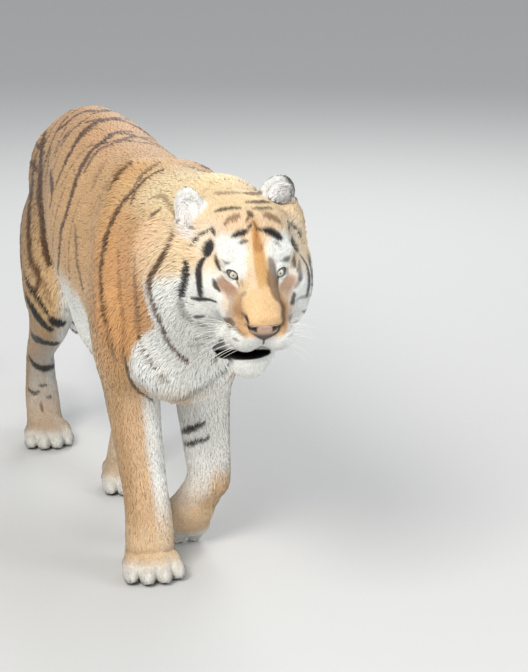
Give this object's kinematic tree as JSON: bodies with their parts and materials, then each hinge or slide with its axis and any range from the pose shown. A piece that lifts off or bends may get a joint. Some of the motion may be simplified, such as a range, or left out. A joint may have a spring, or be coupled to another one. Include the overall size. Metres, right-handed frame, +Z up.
{
  "type": "tiger",
  "caption": "Life-size walking tiger in the round with a short striped coat, head held level, mouth slightly open, a forepaw lifting off the floor.",
  "frame": {"origin": "on the floor under the middle of the animal's length, nose to tail", "axes": "+Z up, the tiger faces -Y, its left side is +X"},
  "size_m": [0.4565, 2.3962, 1.0211],
  "materials": {
    "coat": "short fur, tan with brown stripes",
    "pale_coat": "short fur, cream",
    "eye": "wet gloss",
    "nose_leather": "matt, slightly damp"
  },
  "bodies": {
    "root": {"barrel": "coat", "chest": "coat", "ear_left": "pale_coat", "ear_right": "pale_coat", "eye_left": "eye", "eye_right": "eye", "foreleg_left": "coat", "foreleg_right": "coat", "forepaw_left": "pale_coat", "forepaw_right": "pale_coat", "haunches": "coat", "head": "coat", "hindfoot_left": "pale_coat", "hindfoot_right": "pale_coat", "hindleg_left": "coat", "hindleg_right": "coat", "neck": "coat", "nose": "nose_leather", "tail_middle": "coat", "tail_root": "coat", "tail_tip": "coat"}
  },
  "joints": []
}
